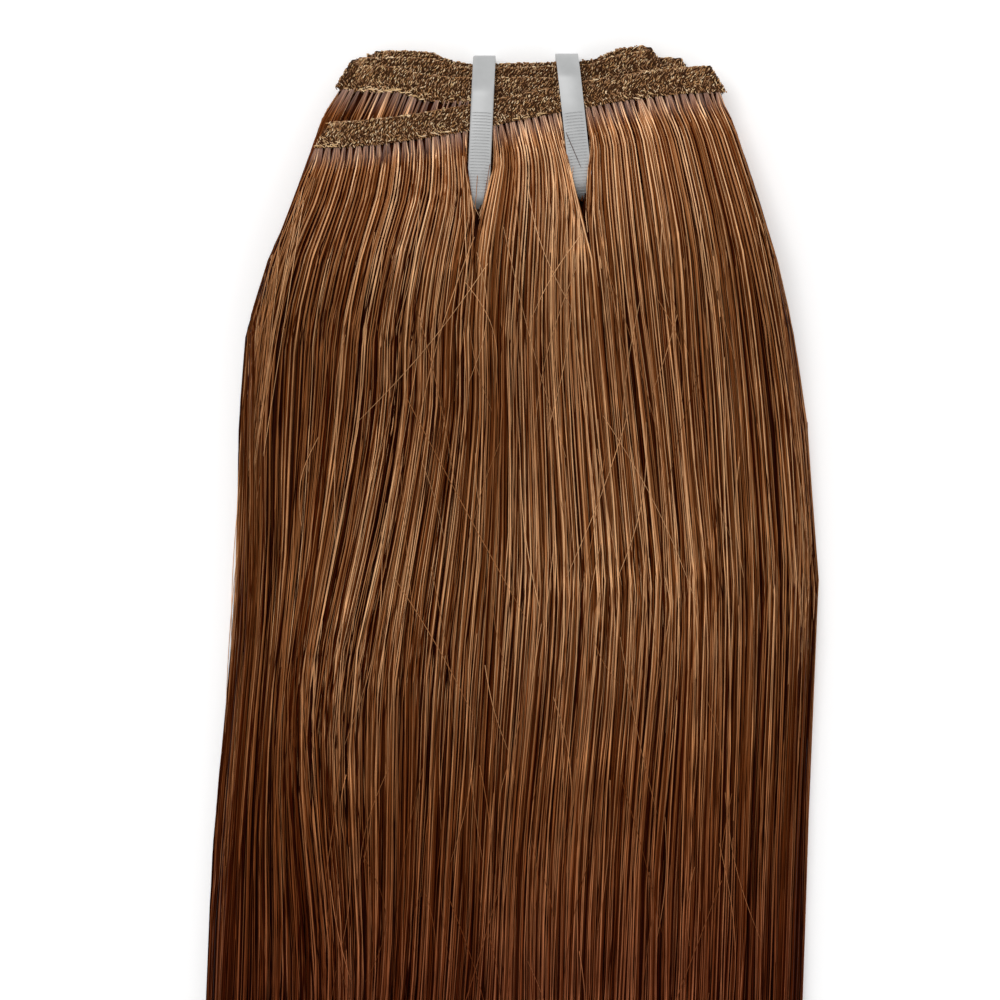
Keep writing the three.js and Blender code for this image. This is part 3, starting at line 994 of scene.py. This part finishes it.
for layer, strand_count in enumerate(BACK_STRANDS):
    share = np.clip(rng.beta(BACK_CROWDING, BACK_CROWDING, strand_count), *BACK_SHARES)
    table = cuts[layer]
    wisp, wisp_middle = wisps_of(share)
    depth, x, length = run_down(
        layer, share, wisp, wisp_middle, tip_depths(share), table, BACK_STEPS, BACK_LOOSE
    )
    low = np.interp(depth, CUT_DEPTHS, table[:, LOW])
    high = np.interp(depth, CUT_DEPTHS, table[:, HIGH])
    z = low + (high - low) * rng.uniform(*BACK_HEIGHTS, (strand_count, 1))
    z = np.maximum(z, BACK_GIRTHS[1] * STRAND_RADIUS)
    along = length / hair_length
    tone = BACK_TONE + BACK_TONE_SPREAD * rng.normal(size=strand_count)
    radius = STRAND_RADIUS * rng.uniform(*BACK_GIRTHS, strand_count)
    points = np.stack([x, weft_top - depth, z], axis=-1)
    add_strands(f"hair_strands_{layer + 1}", points, tapered(along, radius), along, tone)

# %% [markdown]
# ### The front curtain
# The front curtain covers the whole bundle. Its strands are laid on the solids from above: a ray
# straight down finds how high the hair or the strap lies under each point of a strand, and the
# strand is sunk a little below that or lies just on it. Narrow grooves are bridged, as hair does.
# The strands lie in thin coats, one below the other. In each coat they are spaced like the teeth of a
# comb, light and dark by turns, so that single strands show rather than a blur: the dark turns are
# partly the hair's mixed colour and partly painted shade between neighbouring strands. Strands lower in
# the coats are darker, as painted shade.

# %% Rays onto the solids
GROOVE_REACH = 3.5 * MM
GROOVE_DIP = 0.9 * MM
EVENING_ROUNDS = 2
RAY_HEIGHT = 0.1


def ray_ground(nodes):
    """A tree of the nodes' triangles, for rays."""
    triangles = np.vstack([node_triangles(node) for node in nodes])
    faces = np.arange(len(triangles) * 3).reshape(-1, 3)
    return BVHTree.FromPolygons(triangles.reshape(-1, 3).tolist(), faces.tolist())


solids = ray_ground([*curtains, *tie_names])
straps = ray_ground(tie_names)


def ray_down(tree, x, y):
    """Where a ray from above meets a tree, and the normal there."""
    place, normal, _, _ = tree.ray_cast(Vector((x, y, RAY_HEIGHT)), Vector((0, 0, -1)))
    return place, normal


def heights(tree, x, y):
    """Height of the solids in a tree under each point, or 0 beside them."""
    found = np.zeros(x.shape)
    for index in np.ndindex(x.shape):
        place, _ = ray_down(tree, x[index], y[index])
        found[index] = place.z if place else 0
    return found


def lie_on_solids(x, y):
    """Heights for strands, evened out along each strand: not below the solids or far into a groove."""
    beside = np.minimum(heights(solids, x - GROOVE_REACH, y), heights(solids, x + GROOVE_REACH, y))
    level = np.maximum(heights(solids, x, y), beside - GROOVE_DIP)
    even = level.copy()
    for _ in range(EVENING_ROUNDS):
        even[:, 1:-1] = (even[:, :-2] + 2 * even[:, 1:-1] + even[:, 2:]) / 4
    return np.maximum(level, even)


# %% Strands of the front curtain
FRONT = LAYERS - 1
COMBS = 11
COMB_STRANDS = 270
FRONT_STRANDS = COMBS * COMB_STRANDS
FRONT_STEPS = 20
FRONT_LOOSE = 0.28 * MM
FRONT_GIRTHS = (0.75, 1.25)
FRONT_PIECES = ("hair_front_left", "hair_front_mid_left", "hair_front_mid_right", "hair_front_right")
COAT_TOP = 0.3 * MM
COAT_DEPTH = 1.6 * MM
FRINGE = 0.005
COMB_JITTER = (0.15, 0.85)
ROOT_SPREAD = (-0.45 * MM, 0.5 * MM)
RISE_LENGTH = 9 * MM
STRAP_CLEAR = 0.4 * MM
FRONT_TONE = 0.56
# How much darker the lowest strands of the coat are: painted shade from the strands over them.
SUNK_SHADE = 0.1
WISP_TONE, STRAND_TONE, LOCK_TONE = 0.03, 0.12, 0.06
# Painted shade and light across the width: the left flank, which turns away from the light, is darker,
# the middle a little lighter and the right a touch darker.
LIGHT_AND_SHADE_ACROSS = ((0, 0.15, 0.42, 0.56, 0.75, 1), (-0.19, -0.14, 0.05, 0.06, -0.02, -0.03))
TONE_CONTRAST = (0.04, 0.52)

comb, place = np.divmod(np.arange(FRONT_STRANDS), COMB_STRANDS)
tooth = (place + rng.uniform(*COMB_JITTER, FRONT_STRANDS)) / COMB_STRANDS
share = tooth * (1 + 2 * FRINGE) - FRINGE
order = np.argsort(share)
share = share[order]
sunk = (comb + rng.uniform(0, 1, FRONT_STRANDS))[order] * COAT_DEPTH / COMBS
# Teeth of a comb alternate lighter and darker: partly the hair's mixed colour, partly painted shade
# between neighbouring strands.
contrast = (np.where(place % 2, 1, -1) * rng.uniform(*TONE_CONTRAST, FRONT_STRANDS))[order]
wisp, wisp_middle = wisps_of(share)
depth, x, length = run_down(
    FRONT, share, wisp, wisp_middle, tip_depths(share), outline, FRONT_STEPS, FRONT_LOOSE
)
y = weft_top - depth
root_z = weft_high.z - band_thickness / 2 + rng.uniform(*ROOT_SPREAD, FRONT_STRANDS)
rise = ease(length, 0, RISE_LENGTH)
z = root_z[:, None] * (1 - rise) + (lie_on_solids(x, y) + COAT_TOP - sunk[:, None]) * rise
z = np.maximum(z, heights(straps, x, y) + STRAP_CLEAR)
along = length / hair_length
wisp_tone = rng.normal(0, WISP_TONE, WISPS)[wisp]
tone = FRONT_TONE - SUNK_SHADE * sunk / COAT_DEPTH + wisp_tone + contrast
tone += STRAND_TONE * rng.normal(size=FRONT_STRANDS)
# Across the width the tone carries painted shade on the left flank and painted light in the middle.
tone += LOCK_TONE * tone_noise(share, 0 * share) + np.interp(share, *LIGHT_AND_SHADE_ACROSS)
girth = tapered(along, STRAND_RADIUS * rng.uniform(*FRONT_GIRTHS, FRONT_STRANDS))
points = np.stack([x, y, z], axis=-1)
for name, chosen in zip(FRONT_PIECES, np.array_split(np.arange(FRONT_STRANDS), len(FRONT_PIECES))):
    add_strands(name, points[chosen], girth[chosen], along[chosen], tone[chosen])

# %% [markdown]
# ### Stray hairs
# A few hairs cross the others and catch the light, and some run along the outline and soften it. Their
# light tones are painted highlight, for the light they catch. They are longer or shorter pieces of the
# same tubes, laid a little above the coat.

# %% Stray hairs
STRAY_STEPS = 14
STRAY_RADIUS = 0.07 * MM
STRAY_LIFT = 0.35 * MM
STRAY_GIRTHS = (0.8, 1.2)
STRAY_TAPER = 0.5
STRAY_HIGHLIGHT_TONE, STRAY_TONE_SPREAD = 0.8, 0.16
ROOT_SHARE = 0.04
SEWN_SHARE = 0.02
CROSSING_HAIRS = 260
CROSSING_STARTS = (20 * MM, 330 * MM)
CROSSING_RUNS = (10 * MM, 45 * MM)
CROSSING_SHARES = (0.12, 0.88)
CROSSING_LEAN = 0.18
CROSSING_BOW = 1.2 * MM
LOOSE_HAIRS = 240
LOOSE_STARTS = (24 * MM, 170 * MM)
LOOSE_RUNS = (30 * MM, 70 * MM)
LOOSE_ON_LEFT = 0.7
LOOSE_BOWS = (-0.9 * MM, 0.5 * MM)
LOOSE_INSETS = (-0.3 * MM, 2.4 * MM)

# Hairs that show best, in pixels of the picture: start column, start row, end column, end row, bow
# to one side, and tone.
SHOWN_HAIRS = (
    (488, 264, 357, 423, -6, 1),
    (603, 416, 697, 605, -7, 1),
    (582, 234, 530, 322, 4, 1),
    (485, 665, 508, 750, 3, 1),
    (467, 178, 479, 216, 2, 1),
    (489, 176, 479, 214, -2, 1),
    (566, 133, 581, 168, 0, 0.1),
    (640, 300, 622, 470, 6, 1),
    (700, 210, 716, 330, 4, 0.9),
    (420, 200, 396, 330, -5, 0.9),
    (520, 470, 540, 610, 4, 1),
    (330, 880, 352, 985, 3, 1),
    (610, 780, 598, 930, -4, 1),
)


def picture_place(column, row):
    """x and y under a pixel of the picture."""
    return view_x + (column - picture_middle) * PIXEL, view_y - (row - picture_middle) * PIXEL


def bowed(start_x, start_y, end_x, end_y, bow):
    """Points along hairs from start to end, bowed to one side."""
    s = np.linspace(0, 1, STRAY_STEPS + 1)[None]
    across = np.stack([end_y - start_y, start_x - end_x]) / np.hypot(end_x - start_x, end_y - start_y)
    bend = bow[:, None] * np.sin(math.pi * s)
    x = start_x[:, None] + (end_x - start_x)[:, None] * s + across[0][:, None] * bend
    y = start_y[:, None] + (end_y - start_y)[:, None] * s + across[1][:, None] * bend
    return x, y


def flanks(depth):
    """x of the left and the right outline at each depth."""
    return (np.interp(depth, CUT_DEPTHS, outline[:, side]) for side in (LEFT, RIGHT))


def crossing_hairs():
    """Hairs at all places on the coat, leaning across the others."""
    start_depth = rng.uniform(*CROSSING_STARTS, CROSSING_HAIRS)
    run = rng.uniform(*CROSSING_RUNS, CROSSING_HAIRS)
    left, right = flanks(start_depth)
    start_x = left + rng.uniform(*CROSSING_SHARES, CROSSING_HAIRS) * (right - left)
    lean = rng.normal(0, CROSSING_LEAN, CROSSING_HAIRS)
    start_y = weft_top - start_depth
    bow = rng.normal(0, CROSSING_BOW, CROSSING_HAIRS)
    return bowed(start_x, start_y, start_x + lean * run, start_y - run, bow)


def loose_hairs():
    """Hairs along the left and right outline, some of them a little outside it."""
    on_left = rng.random(LOOSE_HAIRS) < LOOSE_ON_LEFT
    start_depth = rng.uniform(*LOOSE_STARTS, LOOSE_HAIRS)
    run = rng.uniform(*LOOSE_RUNS, LOOSE_HAIRS)
    outwards = np.where(on_left, -1, 1)
    bow = outwards * rng.uniform(*LOOSE_BOWS, LOOSE_HAIRS)
    inset = outwards * rng.uniform(*LOOSE_INSETS, LOOSE_HAIRS)
    start_x, end_x = (
        np.where(on_left, *flanks(depth)) - inset for depth in (start_depth, start_depth + run)
    )
    start_y = weft_top - start_depth
    return bowed(start_x, start_y, end_x, start_y - run, bow)


start_column, start_row, end_column, end_row, shown_bow, shown_tone = np.array(SHOWN_HAIRS, float).T
shown_hairs = bowed(
    *picture_place(start_column, start_row), *picture_place(end_column, end_row), shown_bow * PIXEL
)
groups = [shown_hairs, crossing_hairs(), loose_hairs()]
x, y = (np.vstack(part) for part in zip(*groups))
z = np.maximum(lie_on_solids(x, y) + COAT_TOP + STRAY_LIFT, 2 * STRAND_RADIUS)
along = np.clip((weft_top - y) / hair_length - ROOT_SHARE, SEWN_SHARE, 1)
count = len(x)
taper = 1 - STRAY_TAPER * np.linspace(0, 1, STRAY_STEPS + 1) ** 4
girth = STRAY_RADIUS * rng.uniform(*STRAY_GIRTHS, (count, 1)) * taper
# Light tones for the strays: painted highlight of the light they catch.
tone = rng.normal(STRAY_HIGHLIGHT_TONE, STRAY_TONE_SPREAD, count)
tone[: len(SHOWN_HAIRS)] = shown_tone
add_strands("hair_strays", np.stack([x, y, z], axis=-1), girth, along, tone)

# %% [markdown]
# ## Cable ties
# A tie is moulded nylon, pale and milky, with soft edges and fine ridges across the strap. A copy
# of each solid is merged, its flat facets are joined again and its sharp edges are rounded with the
# bevel operator. The ridges are beads drawn out across the strap.


# %% Nylon
def nylon_material():
    """Natural nylon: pale and cool, a little mottled, with a soft shine."""
    material, tree, shader = node_material("natural_nylon")
    place = tree.nodes.new("ShaderNodeTexCoord")
    noise = add_noise(tree, scale=220, detail=3)
    ramp = add_ramp(tree, [(0.3, (0.355, 0.36, 0.36)), (0.7, (0.42, 0.425, 0.425))])
    tree.links.new(place.outputs["Object"], noise.inputs["Vector"])
    tree.links.new(noise.outputs["Fac"], ramp.inputs["Fac"])
    tree.links.new(ramp.outputs["Color"], shader.inputs["Base Color"])
    shader.inputs["Roughness"].default_value = 0.33
    return material


nylon = nylon_material()

# %% Tie bodies
EDGE_ROUND = 0.3 * MM
FLAT = math.radians(1)
SMOOTH = math.radians(35)
SHARP = math.radians(50)

for node in tie_names:
    shape = merged_copy(node)
    bmesh.ops.dissolve_limit(shape, angle_limit=FLAT, verts=shape.verts, edges=shape.edges)
    sharp = [edge for edge in shape.edges if edge.calc_face_angle_signed(0) > SHARP]
    bmesh.ops.bevel(
        shape,
        geom=sharp,
        offset=EDGE_ROUND,
        offset_type="OFFSET",
        affect="EDGES",
        segments=3,
        profile=0.5,
        material=-1,
        clamp_overlap=True,
    )
    tie_mesh = finished_mesh(f"{node}_body", shape)
    tie_mesh.shade_smooth()
    tie_mesh.set_sharp_from_angle(angle=SMOOTH)
    tie = new_piece(f"{node}_body", tie_mesh, nylon)
    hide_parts(node)
    print(f"{tie.name}: {len(tie_mesh.polygons)} faces")

# %% Ridges across the straps
RIDGE_PITCH = 0.58 * MM
RIDGE_START = 13 * MM
RIDGE_FULL = 23 * MM
RIDGE_END = 28.5 * MM
RIDGE_FADE = 0.25
RIDGE_SIZE = np.array([4.0, 0.34, 0.05]) * MM

ridge_depths = np.arange(RIDGE_START, RIDGE_END, RIDGE_PITCH)
count = len(ridge_depths)
for node, (tie_x, lean) in zip(tie_names, tie_lines):
    strap = ray_ground([node])
    hits = [ray_down(strap, tie_x + lean * depth, weft_top - depth) for depth in ridge_depths]
    middle, out = (np.array(part) for part in zip(*hits))
    across = unit(np.cross(out, np.tile((lean, -1.0, 0.0), (count, 1))))
    size = np.tile(RIDGE_SIZE, (count, 1))
    size[:, 2] *= np.interp(ridge_depths, (RIDGE_START, RIDGE_FULL), (RIDGE_FADE, 1))
    ridges = beads_mesh(f"{node}_ridges", middle, across, out, size, np.full(count, 0.5))
    new_piece(f"{node}_ridges", ridges, nylon)
